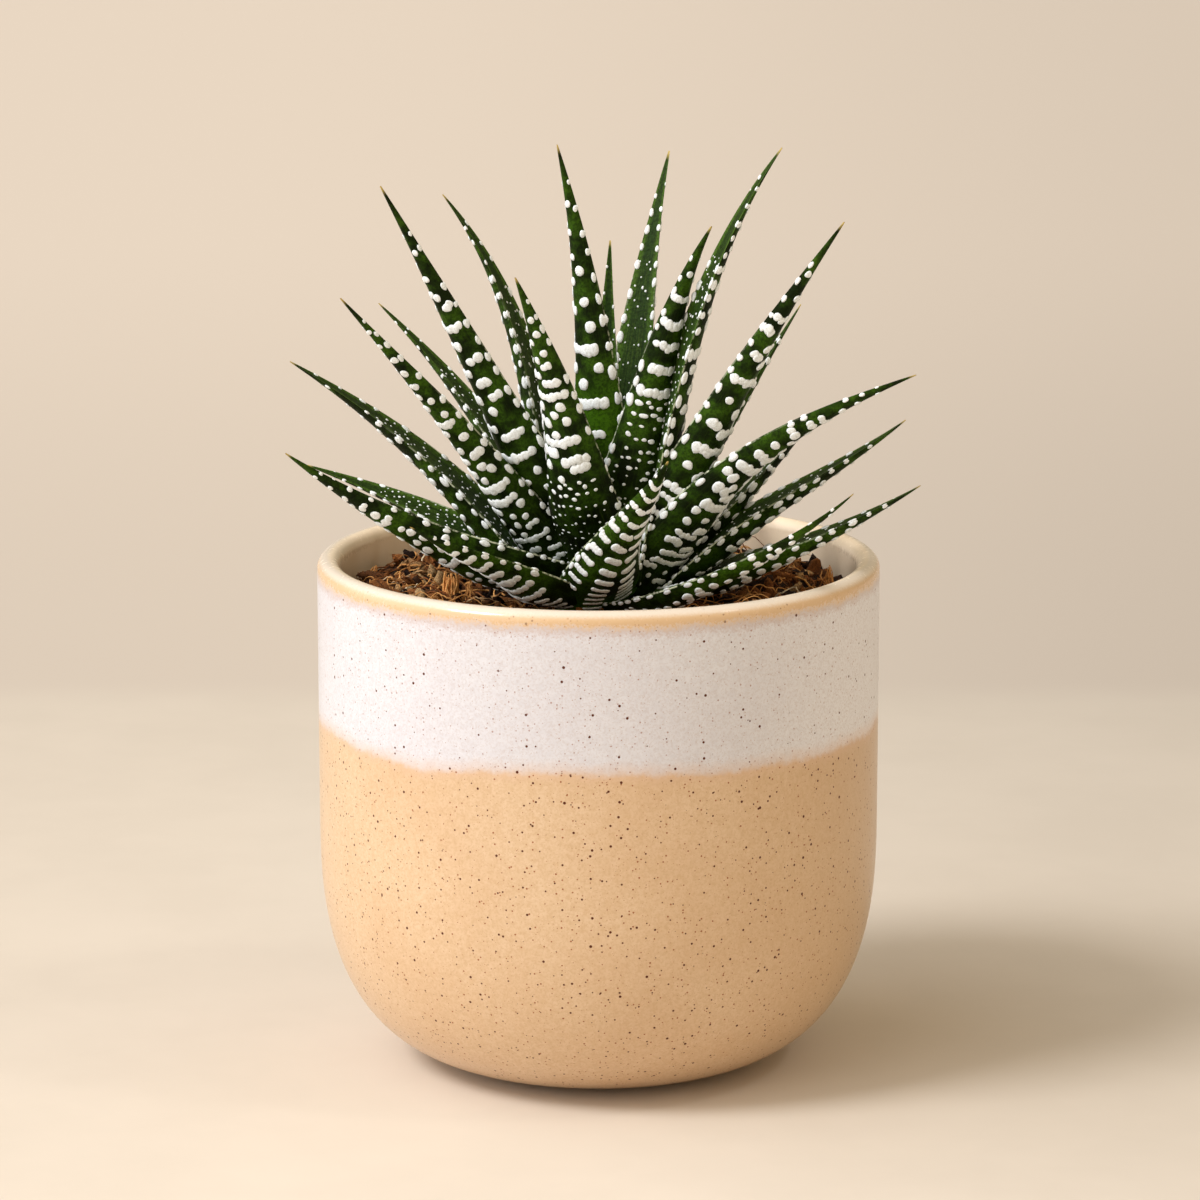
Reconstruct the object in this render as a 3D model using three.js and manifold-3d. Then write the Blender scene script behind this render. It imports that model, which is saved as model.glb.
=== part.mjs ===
// A potted haworthia: a rosette of 32 stiff, white-warted leaves on a short crown, rooted in coarse
// soil in a straight-sided stoneware pot. Millimetres, +Z up. The origin is the middle of the flat
// underside of the pot, and -Y is the front.
import * as THREE from "three";
import { mergeVertices } from "three/addons/utils/BufferGeometryUtils.js";
import Module from "manifold-3d";

// Driving dimensions
const POT = {
  radius: 50, // outside of the upright wall
  height: 91.4, // to the top of the rounded lip
  wall: 4.1,
  floor: 5, // thickness of the base
  foot: 17, // the flat underside reaches this far from the axis
  haunch: 44, // height at which the rounded bottom becomes the upright wall
  squareness: 2.6, // exponent of that rounding: 2 is an ellipse, more is squarer
  sides: 32,
  outsideSteps: 9, // straight pieces that make the rounding outside, inside and over the lip
  insideSteps: 6,
  lipSteps: 6,
};
const SOIL = {
  level: 84, // flat round the crown, out to the distance clear from its edge
  clear: 3,
  slope: 21, // over this further distance the lumps reach their full height
  mound: 1.6, // rise between the plant and the wall
  shoulder: 6, // width of the rounding of that rise down to the wall
  lumps: 60,
  lumpHeight: 0.9,
  smallLump: 2, // radius of the smallest and of the largest lump
  largeLump: 5,
  rings: 7,
  sides: 32,
  outsideSteps: 5,
  seed: 11,
};
const CROWN = {
  y: -6, // the plant stands a little in front of the middle of the pot
  radius: 10.5,
  base: 84.4,
  top: 97,
  rim: 1.2, // height of the upright edge below the cone
  tip: 1.2, // radius of the cone's flat end
  root: 6,
  rootDepth: 14,
  sides: 20,
};
const GAP = 0.3; // clearance between neighbouring pieces

const LEAF = {
  rows: 14, // sections from the foot to the tip
  taper: 1.4, // how fast the blade widens from its tip, against its length
  fullness: 6, // how sharply that wedge turns into the even width
  flare: 0.4, // extra width at the clasping foot, gone by the middle of the length
  sheath: 0.3, // share of the length over which the foot thickens to the full blade
  thinFoot: 0.5, // thickness at the foot, against that of the full blade
  keel: 0.42, // depth of the outer face, against the width
  belly: 2.2, // exponents of the outer face's curve across the blade
  shoulder: 0.7,
  channel: 0.06, // depth of the groove in the inner face, against the width
  bend: 0.35, // reach of the curve's handles, against the straight distance from foot to tip
  wart: 0.4, // height of the white warts
  marginWart: 0.25,
  wartsFrom: 0.1, // shares of the length between which the blade is warted
  wartsTo: 0.92,
  wartyWidth: 5, // below this width the warts get lower with it
};

// One line for each leaf, from the middle of the rosette outwards. turn is the compass direction of
// its tip in degrees from +X, and seat that of its foot where the two differ. foot is the distance
// from the crown's axis at which the leaf leaves it, reach and top the place of the tip, rise and lean
// the slope at the foot and at the tip, width the widest part of the blade and roll its twist.
const LEAVES = [
  { turn: 70, foot: 1.5, reach: 6, top: 147.6, rise: 88, lean: 84, width: 7.5 },
  { turn: 237, seat: 300, foot: 2.5, reach: 13, top: 166.5, rise: 89, lean: 70, width: 11.5 },
  { turn: 110, foot: 2.5, reach: 9, top: 134, rise: 84, lean: 80, width: 7 },
  { turn: 172, foot: 4.5, reach: 27.5, top: 156, rise: 80, lean: 49, width: 10.5, roll: -15 },
  { turn: 61, foot: 4.5, reach: 26, top: 161.3, rise: 78, lean: 63, width: 10.4 },
  { turn: -42, foot: 4.5, reach: 26, top: 153.3, rise: 75, lean: 55, width: 11.6, roll: -25 },
  { turn: 243, seat: 258, foot: 4.5, reach: 31, top: 146, rise: 66, lean: 52, width: 12.3 },
  { turn: 128, foot: 4.5, reach: 24, top: 132, rise: 74, lean: 60, width: 8.5 },
  { turn: 208, foot: 3.5, reach: 42, top: 160.5, rise: 60, lean: 59, width: 9.3, roll: 35 },
  { turn: -42, foot: 6, reach: 41.5, top: 168, rise: 74, lean: 48, width: 10.5, roll: 58 },
  { turn: 92, foot: 5.5, reach: 30, top: 132, rise: 70, lean: 52, width: 9 },
  { turn: -32, foot: 7, reach: 49, top: 155.2, rise: 64, lean: 52, width: 10, roll: -25 },
  { turn: 151, foot: 6.5, reach: 45, top: 134, rise: 66, lean: 36, width: 9 },
  { turn: 212, seat: 202, foot: 6.5, reach: 51.5, top: 142.4, rise: 58, lean: 46, width: 8.3, roll: 30 },
  { turn: -72, seat: -92, foot: 9, reach: 38, top: 116, rise: 47, lean: 45, width: 12 },
  { turn: 44, foot: 6.5, reach: 34, top: 117, rise: 58, lean: 42, width: 9 },
  { turn: 15, foot: 7, reach: 37, top: 135.7, rise: 60, lean: 56, width: 7 },
  { turn: 117, foot: 7, reach: 40, top: 114, rise: 55, lean: 38, width: 9 },
  { turn: 186, foot: 8.5, reach: 54, top: 128, rise: 55, lean: 30, width: 11.5, roll: -14 },
  { turn: -28, foot: 9, reach: 61, top: 129.5, rise: 70, lean: 22, width: 10.8, roll: -20 },
  { turn: 75, foot: 7.5, reach: 44, top: 114, rise: 50, lean: 30, width: 9 },
  { turn: 140, foot: 8.5, reach: 46, top: 106, rise: 40, lean: 20, width: 8.5 },
  { turn: 4, foot: 9, reach: 39.5, top: 118, rise: 46, lean: 46, width: 8.5 },
  { turn: -8, foot: 9.5, reach: 54, top: 118, rise: 49, lean: 37, width: 10.5, roll: 8 },
  { turn: 100, foot: 9, reach: 50, top: 104, rise: 32, lean: 14, width: 8.5 },
  { turn: 161, foot: 9, reach: 55.3, top: 105.2, rise: 32, lean: 13, width: 8.5, roll: -20 },
  { turn: 205, foot: 7.8, reach: 59, top: 115.3, rise: 21, lean: 36, width: 11, roll: 30 },
  { turn: 229, seat: 234, foot: 9.2, reach: 48.5, top: 104.8, rise: 33, lean: 27, width: 11.6 },
  { turn: 27, foot: 9.5, reach: 38, top: 99, rise: 24, lean: 18, width: 8 },
  { turn: 62, foot: 9.5, reach: 52, top: 108, rise: 26, lean: 22, width: 8.5 },
  { turn: -36, seat: -60, foot: 9.5, reach: 53.5, top: 109.5, rise: 13, lean: 40, width: 8.5 },
  { turn: -14, foot: 9, reach: 57.5, top: 107.6, rise: 18, lean: 31, width: 10.5, roll: 5 },
];

// The same draws of chance each time (a linear congruential generator), for the lie of the soil
function chance(seed) {
  let state = seed;
  return () => {
    state = (state * 1103515245 + 12345) % 2147483648;
    return state / 2147483648;
  };
}

const wasm = await Module();
wasm.setup();

// A closed geometry as a manifold solid, and back
function solidOf(geometry) {
  const bare = geometry.clone();
  bare.deleteAttribute("normal");
  bare.deleteAttribute("uv");
  const merged = mergeVertices(bare, 1e-4);
  return new wasm.Manifold(
    new wasm.Mesh({
      numProp: 3,
      vertProperties: merged.attributes.position.array,
      triVerts: new Uint32Array(merged.index.array),
    }),
  );
}

function geometryOf(solid) {
  const mesh = solid.getMesh();
  const geometry = new THREE.BufferGeometry();
  geometry.setAttribute("position", new THREE.BufferAttribute(mesh.vertProperties, 3));
  geometry.setIndex(new THREE.BufferAttribute(mesh.triVerts, 1));
  geometry.computeVertexNormals();
  return geometry;
}

function largestBody(solid) {
  const bodies = solid.decompose();
  return bodies.reduce((a, b) => (b.volume() > a.volume() ? b : a));
}

// Closes a stack of rings, each a list of points, with a fan at either end
function skin(rings, first, last) {
  const count = rings[0].length;
  const points = [first, ...rings.flat(), last];
  const index = [];
  for (let k = 0; k < count; k++) {
    const next = (k + 1) % count;
    index.push(0, 1 + next, 1 + k);
    for (let row = 0; row < rings.length - 1; row++) {
      const here = 1 + row * count;
      const above = here + count;
      index.push(here + k, here + next, above + next, here + k, above + next, above + k);
    }
    const top = 1 + (rings.length - 1) * count;
    index.push(top + k, top + next, points.length - 1);
  }
  const geometry = new THREE.BufferGeometry().setFromPoints(points);
  geometry.setIndex(index);
  geometry.computeVertexNormals();
  return geometry;
}

// The pot is turned from one outline: rounded bottom, upright wall, rounded lip, and the same inside
function roundedBottom(foot, radius, base, haunch, steps) {
  const points = [];
  for (let i = 0; i <= steps; i++) {
    const angle = (i / steps) * (Math.PI / 2);
    const power = 2 / POT.squareness;
    const x = foot + (radius - foot) * Math.sin(angle) ** power;
    const z = haunch - (haunch - base) * Math.cos(angle) ** power;
    points.push(new THREE.Vector2(x, z));
  }
  return points;
}

function turned(profile, sides) {
  return new THREE.LatheGeometry(profile, sides).rotateX(Math.PI / 2);
}

const INSIDE = POT.radius - POT.wall;

function potGeometry() {
  const lip = POT.wall / 2;
  const lipPoints = [];
  for (let i = 0; i <= POT.lipSteps; i++) {
    const angle = (i / POT.lipSteps) * Math.PI;
    const x = POT.radius - lip + lip * Math.cos(angle);
    lipPoints.push(new THREE.Vector2(x, POT.height - lip + lip * Math.sin(angle)));
  }
  const outer = roundedBottom(POT.foot, POT.radius, 0, POT.haunch, POT.outsideSteps);
  const inner = roundedBottom(POT.foot, INSIDE, POT.floor, POT.haunch, POT.insideSteps).reverse();
  return turned(
    [
      new THREE.Vector2(0, 0),
      ...outer,
      ...lipPoints,
      ...inner,
      new THREE.Vector2(0, POT.floor),
    ],
    POT.sides,
  );
}

// The soil fills the pot to just under the lip and rises a little in lumps between the leaves
function soilHeight(x, y, lumps) {
  const near = CROWN.radius + SOIL.clear;
  const open = THREE.MathUtils.smoothstep(Math.hypot(x, y - CROWN.y), near, near + SOIL.slope);
  const edge = 1 - THREE.MathUtils.smoothstep(Math.hypot(x, y), INSIDE - SOIL.shoulder, INSIDE);
  let lift = SOIL.mound * edge;
  for (const lump of lumps) {
    const d = Math.hypot(x - lump.x, y - lump.y) / lump.size;
    lift += lump.high * Math.exp(-d * d);
  }
  return SOIL.level + lift * open;
}

function soilGeometry() {
  const draw = chance(SOIL.seed);
  const lumps = [];
  for (let i = 0; i < SOIL.lumps; i++) {
    const r = CROWN.radius + (INSIDE - CROWN.radius) * Math.sqrt(draw());
    const a = 2 * Math.PI * draw();
    const high = SOIL.lumpHeight * (2 * draw() - 1);
    const size = SOIL.smallLump + (SOIL.largeLump - SOIL.smallLump) * draw();
    lumps.push({ x: r * Math.cos(a), y: r * Math.sin(a), size, high });
  }
  const radius = INSIDE - GAP;
  const outside = roundedBottom(POT.foot, radius, POT.floor + GAP, POT.haunch, SOIL.outsideSteps);
  const rings = outside.map((p) => ring(p.x, () => p.y));
  for (let i = SOIL.rings; i > 0; i--) {
    const r = (radius * i) / SOIL.rings;
    rings.push(ring(r, (x, y) => soilHeight(x, y, lumps)));
  }
  const low = new THREE.Vector3(0, 0, POT.floor + GAP);
  return skin(rings, low, new THREE.Vector3(0, 0, SOIL.level));
}

// One ring of the soil's points, each at the height that the function gives for its place
function ring(radius, height) {
  const points = [];
  for (let k = 0; k < SOIL.sides; k++) {
    const a = (2 * Math.PI * k) / SOIL.sides;
    const x = radius * Math.cos(a);
    const y = radius * Math.sin(a);
    points.push(new THREE.Vector3(x, y, height(x, y)));
  }
  return points;
}

// The crown is the short stem: a blunt cone that carries the leaves, over a root in a plain hole
function crownGeometry(grow) {
  const { y, radius, base, top, rim, tip, root, rootDepth, sides } = CROWN;
  const geometry = turned(
    [
      new THREE.Vector2(0, base - rootDepth - grow),
      new THREE.Vector2(root + grow, base - rootDepth - grow),
      new THREE.Vector2(root + grow, base - grow),
      new THREE.Vector2(radius + grow, base - grow),
      new THREE.Vector2(radius + grow, base + rim),
      new THREE.Vector2(tip + grow, top - tip + grow),
      new THREE.Vector2(0, top - tip + grow),
    ],
    sides,
  );
  return geometry.translate(0, y, 0);
}

// The height of the crown's slope where a leaf leaves it
function footHeight(foot) {
  const share = (CROWN.radius - foot) / (CROWN.radius - CROWN.tip);
  return THREE.MathUtils.lerp(CROWN.base + CROWN.rim, CROWN.top - CROWN.tip, share);
}

function outward(degrees) {
  const angle = THREE.MathUtils.degToRad(degrees);
  return new THREE.Vector3(Math.cos(angle), Math.sin(angle), 0);
}

// The midrib is a cubic curve that leaves the crown at its rise and ends at its lean
function midrib(leaf) {
  const up = new THREE.Vector3(0, 0, 1);
  const axis = new THREE.Vector3(0, CROWN.y, 0);
  const seat = outward(leaf.seat ?? leaf.turn);
  const from = axis.clone().addScaledVector(seat, leaf.foot);
  from.addScaledVector(up, footHeight(leaf.foot));
  const to = axis.clone().addScaledVector(outward(leaf.turn), leaf.reach);
  to.addScaledVector(up, leaf.top);
  const heading = to.clone().sub(from).setZ(0).normalize();
  const side = new THREE.Vector3().crossVectors(up, heading);
  const handle = from.distanceTo(to) * LEAF.bend;
  const along = (direction, degrees) => {
    const angle = THREE.MathUtils.degToRad(degrees);
    return direction.clone().multiplyScalar(Math.cos(angle)).addScaledVector(up, Math.sin(angle));
  };
  const first = from.clone().addScaledVector(along(seat, leaf.rise), handle);
  const second = to.clone().addScaledVector(along(heading, leaf.lean), -handle);
  return { curve: new THREE.CubicBezierCurve3(from, first, second, to), side };
}

// Width of the blade at t, from 0 at the foot to 1 at the tip
function bladeWidth(t, width) {
  const wedge = LEAF.taper * (1 - t);
  const flare = 1 + LEAF.flare * (1 - THREE.MathUtils.smoothstep(t, 0, 0.5));
  return (width * flare * wedge) / (1 + wedge ** LEAF.fullness) ** (1 / LEAF.fullness);
}

// Across the blade, from margin to margin: three points on the inner face, five on the outer one
const INNER = [0.5, 0, -0.5];
const OUTER = [-0.76, -0.4, 0, 0.4, 0.76];

// How warty the blade is at t, from 0 to 1
function wartiness(t, width) {
  const bare = t <= LEAF.wartsFrom || t >= LEAF.wartsTo;
  return bare ? 0 : Math.min(1, width / LEAF.wartyWidth);
}

// A leaf, or with grow above 0 the smooth and larger shape that keeps its neighbours clear of it
function leafGeometry(leaf, grow) {
  const { curve, side } = midrib(leaf);
  const roll = THREE.MathUtils.degToRad(leaf.roll ?? 0);
  const rings = [];
  for (let row = 0; row < LEAF.rows; row++) {
    const t = row / LEAF.rows;
    const centre = curve.getPoint(t);
    const along = curve.getTangent(t);
    const across = side.clone().addScaledVector(along, -side.dot(along)).normalize();
    const inward = new THREE.Vector3().crossVectors(along, across);
    across.applyAxisAngle(along, roll);
    inward.applyAxisAngle(along, roll);
    const width = bladeWidth(t, leaf.width);
    const full = THREE.MathUtils.smoothstep(t, 0, LEAF.sheath);
    const deep = width * LEAF.keel * THREE.MathUtils.lerp(LEAF.thinFoot, 1, full);
    const warty = grow > 0 ? 0 : wartiness(t, width);
    const place = (a, h) =>
      centre.clone().addScaledVector(across, a).addScaledVector(inward, h);
    const half = width / 2 + grow;
    const tooth = warty * LEAF.marginWart * (row % 2);
    const points = [place(half + tooth, 0)];
    for (const a of INNER) {
      points.push(place(a * half, grow - LEAF.channel * width * (1 - a * a)));
    }
    points.push(place(-half - tooth, 0));
    OUTER.forEach((a, column) => {
      const wart = warty * LEAF.wart * ((row + column) % 2);
      const round = (1 - Math.abs(a) ** LEAF.belly) ** LEAF.shoulder;
      points.push(place(a * (half + wart), -deep * round - wart - grow));
    });
    rings.push(points);
  }
  const tip = curve.getPoint(1).addScaledVector(curve.getTangent(1), grow);
  return skin(rings, curve.getPoint(0), tip);
}

// Materials, one for each kind of piece
const glaze = new THREE.MeshStandardMaterial({ color: 0xe3bf95, roughness: 0.35 });
const loam = new THREE.MeshStandardMaterial({ color: 0x6b432a, roughness: 0.95 });
const pith = new THREE.MeshStandardMaterial({ color: 0x5d6b3a, roughness: 0.8 });
const flesh = new THREE.MeshStandardMaterial({ color: 0x2f5a24, roughness: 0.45 });

function named(name, geometry, material) {
  const mesh = new THREE.Mesh(geometry, material.clone());
  mesh.name = name;
  return mesh;
}

const group = new THREE.Group();
group.add(named("pot", potGeometry(), glaze));
const socket = solidOf(crownGeometry(GAP));
group.add(named("soil", geometryOf(largestBody(solidOf(soilGeometry()).subtract(socket))), loam));
group.add(named("crown", crownGeometry(0), pith));

// Each leaf is trimmed where an inner neighbour or the crown already lies, with the gap between them
const taken = [socket];
LEAVES.forEach((leaf, i) => {
  let solid = solidOf(leafGeometry(leaf, 0));
  for (const other of taken) {
    solid = solid.subtract(other);
  }
  taken.push(solidOf(leafGeometry(leaf, GAP + LEAF.wart)));
  const name = "leaf_" + String(i + 1).padStart(2, "0");
  group.add(named(name, geometryOf(largestBody(solid)), flesh));
});

export default group;
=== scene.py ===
import math
import random

import bmesh
import bpy
from mathutils import Matrix, Vector, noise


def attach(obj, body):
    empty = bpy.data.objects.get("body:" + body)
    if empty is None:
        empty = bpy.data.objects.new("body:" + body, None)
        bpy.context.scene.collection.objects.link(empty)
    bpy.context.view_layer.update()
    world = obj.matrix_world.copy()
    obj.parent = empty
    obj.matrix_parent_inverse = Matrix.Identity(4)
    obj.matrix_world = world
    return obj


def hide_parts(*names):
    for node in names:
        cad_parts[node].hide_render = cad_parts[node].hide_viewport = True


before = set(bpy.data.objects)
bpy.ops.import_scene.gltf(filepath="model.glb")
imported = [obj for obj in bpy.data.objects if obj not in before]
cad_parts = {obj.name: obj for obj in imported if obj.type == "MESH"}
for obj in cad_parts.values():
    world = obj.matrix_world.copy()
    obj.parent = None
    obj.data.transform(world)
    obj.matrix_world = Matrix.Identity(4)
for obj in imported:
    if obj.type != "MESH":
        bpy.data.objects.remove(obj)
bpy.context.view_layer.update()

# The camera: a long lens a little above the rim, aimed at the wall of the pot just under its lip.
# Its place comes from the ellipse that the rim makes in the photograph. All lengths are millimetres
# until a piece is finished, when its mesh is brought to metres.
MM = 0.001
CAMERA_PITCH = math.radians(12.1)
CAMERA_DISTANCE = 900
CAMERA_AIM = Vector((0.27, 0, 83))
CAMERA_LENS = 151.5
CAMERA_SENSOR = 36
CAMERA_NEAREST = 10

camera = bpy.data.objects.new("camera", bpy.data.cameras.new("camera"))
camera.data.lens = CAMERA_LENS
camera.data.sensor_width = CAMERA_SENSOR
camera.data.clip_start = CAMERA_NEAREST * MM
back = Vector((0, -math.cos(CAMERA_PITCH), math.sin(CAMERA_PITCH)))
camera.location = (CAMERA_AIM + back * CAMERA_DISTANCE) * MM
camera.rotation_euler = (math.pi / 2 - CAMERA_PITCH, 0, 0)
bpy.context.collection.objects.link(camera)
bpy.context.scene.camera = camera
bpy.context.scene.view_settings.view_transform = "Standard"


# The floor: a matt beige tabletop. Past a rounded square round the pot it takes the tone of a wall,
# so that every view has the photograph's quiet backdrop. It is staging and no part of the object.
FLOOR_SIZE = 8000
WALL_DISTANCE = 282
WALL_BLUR = 16
WALL_SQUARENESS = 6
# Painted shade and painted light in the floor's colour, which stand in for the lamps' falloff:
FLOOR_PAINTED_SHADE = 0.14  # how much painted shade darkens the floor at the right of the view against the left
WALL_PAINTED_SHADE = 0.01  # and how much more painted shade the wall has there
PAINTED_SHADE_FROM, PAINTED_SHADE_TO = -0.07, 0.15  # its two ends, sideways against the depth from the camera
DEPTH_PAINTED_SHADE = 0.0006  # how much painted shade darkens it with each millimetre to the back, up to the wall
WALL_PAINTED_LIGHT = 0.1  # how much painted light lightens it again, far up the wall
PAINTED_LIGHT_DEPTH = 800  # how far behind the wall's foot that is reached


class Value:
    """A number or colour inside one finish. Sums on it become the finish's own Math nodes."""

    def __init__(self, finish, socket):
        self.finish = finish
        self.socket = socket

    def math(self, operation, *others):
        sockets = dict(enumerate((self, *others)))
        return self.finish.node("ShaderNodeMath", {"operation": operation}, sockets)

    def __add__(self, other):
        return self.math("ADD", other)

    def __mul__(self, other):
        return self.math("MULTIPLY", other)

    def __sub__(self, other):
        return self.math("SUBTRACT", other)

    def __rsub__(self, other):
        return self * -1 + other

    def __truediv__(self, other):
        return self.math("DIVIDE", other)

    def __pow__(self, other):
        return self.math("POWER", other)

    def __abs__(self):
        return self.math("ABSOLUTE")

    __radd__ = __add__

    def step(self, low, high):
        """0 below low, 1 above high and a smooth slope between them; falling where high is less."""
        ends = (0, 1) if high > low else (1, 0)
        sockets = {0: self, 1: min(low, high), 2: max(low, high), 3: ends[0], 4: ends[1]}
        return self.finish.node("ShaderNodeMapRange", {"interpolation_type": "SMOOTHSTEP"}, sockets)


class Finish:
    """The look of one surface: a material with one shader, whose nodes are added by node()."""

    def __init__(self, name, roughness=0.5, **constants):
        self.material = bpy.data.materials.new(name)
        self.material.use_nodes = True
        self.tree = self.material.node_tree
        self.shader = self.tree.nodes["Principled BSDF"]
        self.set(Roughness=roughness, **constants)

    def link(self, node, sockets):
        """Sets these sockets of a node to a number or colour, or links them to a value."""
        for key, value in sockets.items():
            if isinstance(value, Value):
                self.tree.links.new(value.socket, node.inputs[key])
            else:
                node.inputs[key].default_value = value

    def set(self, **sockets):
        """Sets sockets of the shader, whose names have _ for a space here."""
        self.link(self.shader, {key.replace("_", " "): value for key, value in sockets.items()})

    def node(self, kind, settings=None, sockets=None, output=0):
        node = self.tree.nodes.new(kind)
        for key, value in (settings or {}).items():
            setattr(node, key, value)
        self.link(node, sockets or {})
        return Value(self, node.outputs[output])

    def mix(self, share, a, b, blend="MIX"):
        settings = {"data_type": "RGBA", "blend_type": blend}
        return self.node("ShaderNodeMix", settings, {0: share, 6: a, 7: b}, 2)

    def place(self, scale=(1, 1, 1)):
        """Where a point of the surface is, in millimetres, drawn out by scale."""
        spot = self.node("ShaderNodeTexCoord", output="Object")
        size = tuple(s / MM for s in scale)
        return self.node("ShaderNodeVectorMath", {"operation": "MULTIPLY"}, {0: spot, 1: size})

    def axes(self, vector):
        return [self.node("ShaderNodeSeparateXYZ", None, {0: vector}, i) for i in range(3)]

    def attribute(self, name):
        """A number that the mesh holds at each of its vertices."""
        return self.node("ShaderNodeAttribute", {"attribute_name": name}, None, "Fac")

    def noise(self, place, grain, detail=2, roughness=0.5):
        """Noise from 0 to 1 whose grains are about that many millimetres across."""
        sockets = {"Vector": place, "Scale": 1 / grain, "Detail": detail, "Roughness": roughness}
        return self.node("ShaderNodeTexNoise", None, sockets)

    def coats(self, colour, *layers):
        """A colour with thin coats over it, each given by its share and its own tone."""
        for share, coat in layers:
            colour = self.mix(share, colour, coat)
        return colour

    def bump(self, height, distance, strength=1):
        sockets = {"Strength": strength, "Distance": distance * MM, "Height": height}
        self.set(Normal=self.node("ShaderNodeBump", None, sockets))


def tone(red, green, blue):
    """A screen colour, 0 to 255, as the shader's linear one."""
    levels = red, green, blue
    return tuple(((c / 255 + 0.055) / 1.055) ** 2.4 if c > 10 else c / 3295 for c in levels) + (1,)


def piece(bm, name, *finishes):
    """Brings a finished bmesh to metres and makes it a smooth object with these finishes."""
    bmesh.ops.scale(bm, vec=(MM, MM, MM), verts=bm.verts)
    for face in bm.faces:
        face.smooth = True
    mesh = bpy.data.meshes.new(name)
    bm.to_mesh(mesh)
    bm.free()
    for finish in finishes:
        mesh.materials.append(finish.material)
    made = bpy.data.objects.new(name, mesh)
    bpy.context.collection.objects.link(made)
    return made


tabletop = Finish("floor_matt", roughness=0.9)
spot = tabletop.place()
east, north, _ = tabletop.axes(spot)
far = (abs(east) ** WALL_SQUARENESS + abs(north) ** WALL_SQUARENESS) ** (1 / WALL_SQUARENESS)
wall = far.step(WALL_DISTANCE - WALL_BLUR, WALL_DISTANCE + WALL_BLUR)
mottle = tabletop.noise(spot, 45, 4, 0.6).step(0.3, 0.7)
stone = tabletop.mix(mottle, tone(214, 203, 190), tone(218, 207, 194))
backdrop = tabletop.mix(wall, stone, tone(211, 199, 187))
# painted shade: the floor and wall darken towards the right of the view and towards the back, and painted
# light lightens the wall far up; their colour is multiplied by this
slant = (east / (north.math("MAXIMUM", 0) + CAMERA_DISTANCE)).step(PAINTED_SHADE_FROM, PAINTED_SHADE_TO)
depth = north.math("MAXIMUM", -WALL_DISTANCE).math("MINIMUM", WALL_DISTANCE)
painted_light_and_shade = 1 - slant * (wall * WALL_PAINTED_SHADE + FLOOR_PAINTED_SHADE) - depth * DEPTH_PAINTED_SHADE
painted_light_and_shade += north.step(WALL_DISTANCE, WALL_DISTANCE + PAINTED_LIGHT_DEPTH) * WALL_PAINTED_LIGHT
painted_light_and_shade_colour = tabletop.node("ShaderNodeCombineColor", None, {0: painted_light_and_shade, 1: painted_light_and_shade, 2: painted_light_and_shade})
tabletop.set(Base_Color=tabletop.mix(1, backdrop, painted_light_and_shade_colour, "MULTIPLY"))

bm = bmesh.new()
bmesh.ops.create_grid(bm, x_segments=1, y_segments=1, size=FLOOR_SIZE / 2)
floor = piece(bm, "floor", tabletop)


# The light: a lamp from the left and front, whose soft shadow falls to the right, a weaker warm and
# very broad one from the right, and a small one that puts a glint on the lip. They stand in a warm dim
# room with a wide bright sheet of light along its left.
SHEET_TURN, SHEET_RISE = 196, 24
SHEET_EDGE, SHEET_HEART = 0.45, 0.92  # the cosines of the angles at which it begins and is whole
SHEET_STRENGTH = 1.9
SHEET_TINT = 1, 0.99, 0.97
ROOM_STRENGTH = 0.42
ROOM_TINT = 1, 0.82, 0.55


def direction(turn, rise):
    """The way to something, by its compass turn from +X and its rise, in degrees."""
    turn, rise = math.radians(turn), math.radians(rise)
    return Vector((math.cos(turn) * math.cos(rise), math.sin(turn) * math.cos(rise), math.sin(rise)))


def lamp(name, turn, rise, strength, softness, colour):
    """A distant lamp in that direction, softness degrees across."""
    light = bpy.data.lights.new(name, "SUN")
    light.color = colour
    light.energy = strength
    light.angle = math.radians(softness)
    holder = bpy.data.objects.new(name, light)
    holder.rotation_euler = direction(turn, rise).to_track_quat("Z", "Y").to_euler()
    bpy.context.collection.objects.link(holder)


lamp("key", turn=206, rise=46, strength=1.92, softness=19, colour=(0.99, 0.99, 1))
lamp("fill", turn=-18, rise=32, strength=0.55, softness=80, colour=(1, 0.86, 0.63))
lamp("glint", turn=-15, rise=52, strength=0.2, softness=5, colour=(1, 0.95, 0.88))

room = bpy.data.worlds.new("room")
room.use_nodes = True
nodes, links = room.node_tree.nodes, room.node_tree.links
sky = nodes.new("ShaderNodeTexCoord")
facing = nodes.new("ShaderNodeVectorMath")
facing.operation = "DOT_PRODUCT"
facing.inputs[1].default_value = direction(SHEET_TURN, SHEET_RISE)
links.new(sky.outputs["Generated"], facing.inputs[0])
sheet = nodes.new("ShaderNodeValToRGB")
sheet.color_ramp.interpolation = "EASE"
dim, bright = sheet.color_ramp.elements
dim.position, bright.position = SHEET_EDGE, SHEET_HEART
dim.color = tuple(ROOM_STRENGTH * share for share in ROOM_TINT) + (1,)
bright.color = tuple(SHEET_STRENGTH * share for share in SHEET_TINT) + (1,)
links.new(facing.outputs["Value"], sheet.inputs["Fac"])
links.new(sheet.outputs["Color"], nodes["Background"].inputs["Color"])
bpy.context.scene.world = room


# The pot: one piece of stoneware thrown on a wheel, dipped in a tan glaze and then rim down in a
# white one. The white runs thin over the lip, where it turns honey, and iron specks come through both.
POT_RADIUS = 50
POT_HEIGHT = 91.4
POT_WALL = 4.1
POT_FLOOR = 5
POT_FOOT = 17  # the radius of the flat it stands on
POT_HAUNCH = 44  # the height at which the rounded bottom meets the upright wall
POT_SQUARENESS = 2.6  # of the rounded bottom, where a plain ellipse has 2
POT_INSIDE = POT_RADIUS - POT_WALL
LIP = POT_WALL / 2
POT_TURNS = 144
BOTTOM_STEPS, INSIDE_STEPS, WALL_STEPS, LIP_STEPS = 36, 24, 12, 16
WHITE_FROM = 63
HONEY_FROM = POT_HEIGHT - 3.5


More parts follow.
